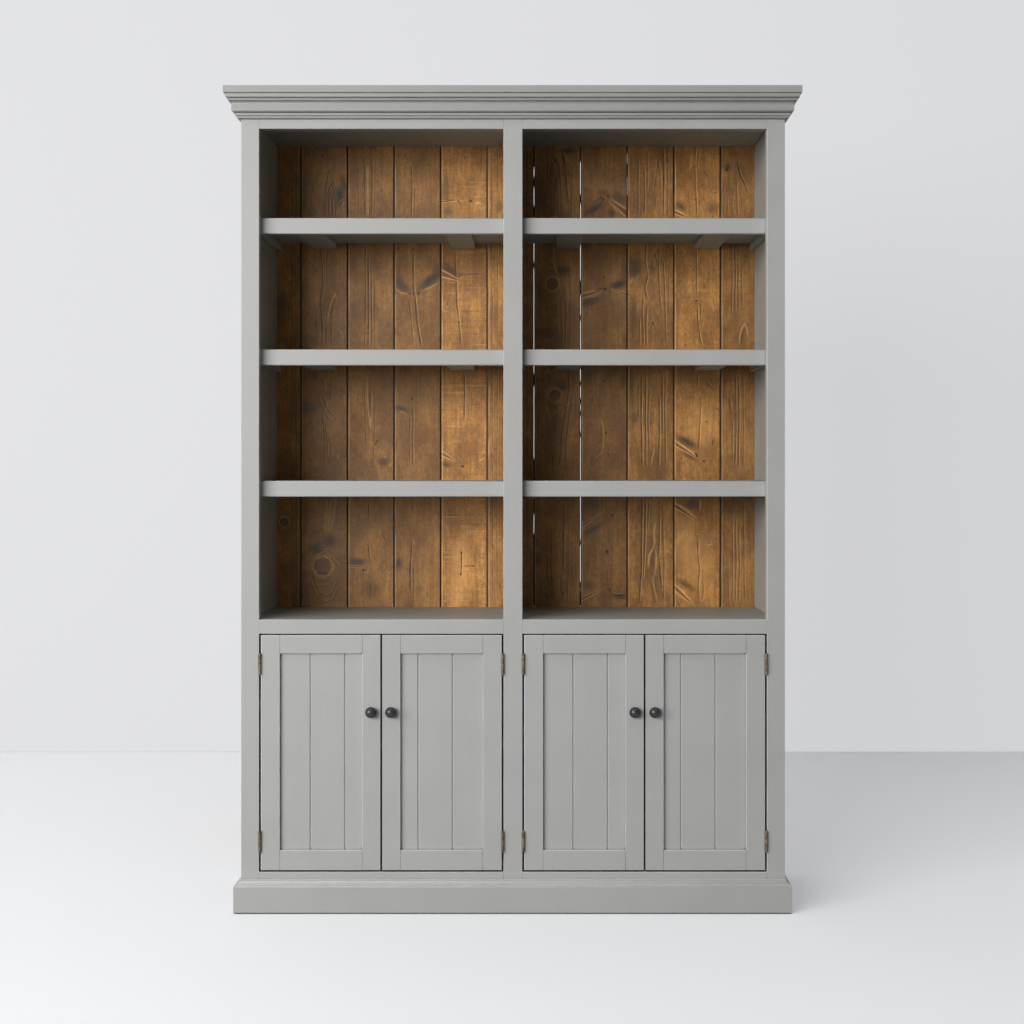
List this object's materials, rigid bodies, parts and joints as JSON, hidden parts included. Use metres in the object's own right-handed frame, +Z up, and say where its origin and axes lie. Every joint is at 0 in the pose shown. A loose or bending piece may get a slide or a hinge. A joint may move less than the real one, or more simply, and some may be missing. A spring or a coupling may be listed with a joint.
{
  "type": "bookcase with cabinet doors",
  "caption": "Tall painted bookcase: open shelves either side of a centre stile, boarded back, moulded cornice and plinth, and cupboards below with inset framed doors on butt hinges.",
  "frame": {"origin": "on the floor, at the middle of the footprint", "axes": "+X to the right seen from the front, +Y from the front to the back, +Z up"},
  "size_m": [1.464, 0.394, 2.1],
  "materials": {
    "grey_paint": "matt brushed paint",
    "stained_pine": "waxed stain",
    "dark_knob": "satin",
    "aged_brass": "aged",
    "zinc_steel": "zinc plated",
    "catch_plastic": "moulded"
  },
  "bodies": {
    "carcass": {"back_boards_left": "stained_pine", "back_boards_right": "stained_pine", "centre_divider": "grey_paint", "cornice_front": "grey_paint", "cornice_return_left": "grey_paint", "cornice_return_right": "grey_paint", "cupboard_floor": "grey_paint", "cupboard_shelves": "grey_paint", "face_rail_bottom_left": "grey_paint", "face_rail_bottom_right": "grey_paint", "face_rail_top_left": "grey_paint", "face_rail_top_right": "grey_paint", "face_rail_waist_left": "grey_paint", "face_rail_waist_right": "grey_paint", "face_stile_centre": "grey_paint", "face_stile_left": "grey_paint", "face_stile_right": "grey_paint", "hinge_frame_leaves": "aged_brass", "hinge_pins": "aged_brass", "magnetic_catches": "catch_plastic", "plinth_front": "grey_paint", "plinth_return_left": "grey_paint", "plinth_return_right": "grey_paint", "shelf_battens": "grey_paint", "shelf_cleats": "grey_paint", "shelf_left_lower": "grey_paint", "shelf_left_middle": "grey_paint", "shelf_left_upper": "grey_paint", "shelf_lips": "grey_paint", "shelf_right_lower": "grey_paint", "shelf_right_middle": "grey_paint", "shelf_right_upper": "grey_paint", "side_panel_left": "grey_paint", "side_panel_right": "grey_paint", "top_board": "grey_paint", "waist_boards": "grey_paint"},
    "door_1": {"door_1_hinge_leaves": "aged_brass", "door_1_knob": "dark_knob", "door_1_panel": "grey_paint", "door_1_rails": "grey_paint", "door_1_stiles": "grey_paint", "door_1_strike_plate": "zinc_steel"},
    "door_2": {"door_2_hinge_leaves": "aged_brass", "door_2_knob": "dark_knob", "door_2_panel": "grey_paint", "door_2_rails": "grey_paint", "door_2_stiles": "grey_paint", "door_2_strike_plate": "zinc_steel"},
    "door_3": {"door_3_hinge_leaves": "aged_brass", "door_3_knob": "dark_knob", "door_3_panel": "grey_paint", "door_3_rails": "grey_paint", "door_3_stiles": "grey_paint", "door_3_strike_plate": "zinc_steel"},
    "door_4": {"door_4_hinge_leaves": "aged_brass", "door_4_knob": "dark_knob", "door_4_panel": "grey_paint", "door_4_rails": "grey_paint", "door_4_stiles": "grey_paint", "door_4_strike_plate": "zinc_steel"}
  },
  "joints": [
    {"name": "door_1_hinge", "type": "hinge", "parent": "carcass", "child": "door_1", "pos_m": [-0.64575, -0.1626, 0.406], "axis": [0, 0, -1], "range_deg": [0, 170]},
    {"name": "door_2_hinge", "type": "hinge", "parent": "carcass", "child": "door_2", "pos_m": [-0.02625, -0.1626, 0.406], "axis": [0, 0, 1], "range_deg": [0, 90]},
    {"name": "door_3_hinge", "type": "hinge", "parent": "carcass", "child": "door_3", "pos_m": [0.02625, -0.1626, 0.406], "axis": [0, 0, -1], "range_deg": [0, 90]},
    {"name": "door_4_hinge", "type": "hinge", "parent": "carcass", "child": "door_4", "pos_m": [0.64575, -0.1626, 0.406], "axis": [0, 0, 1], "range_deg": [0, 170]}
  ]
}
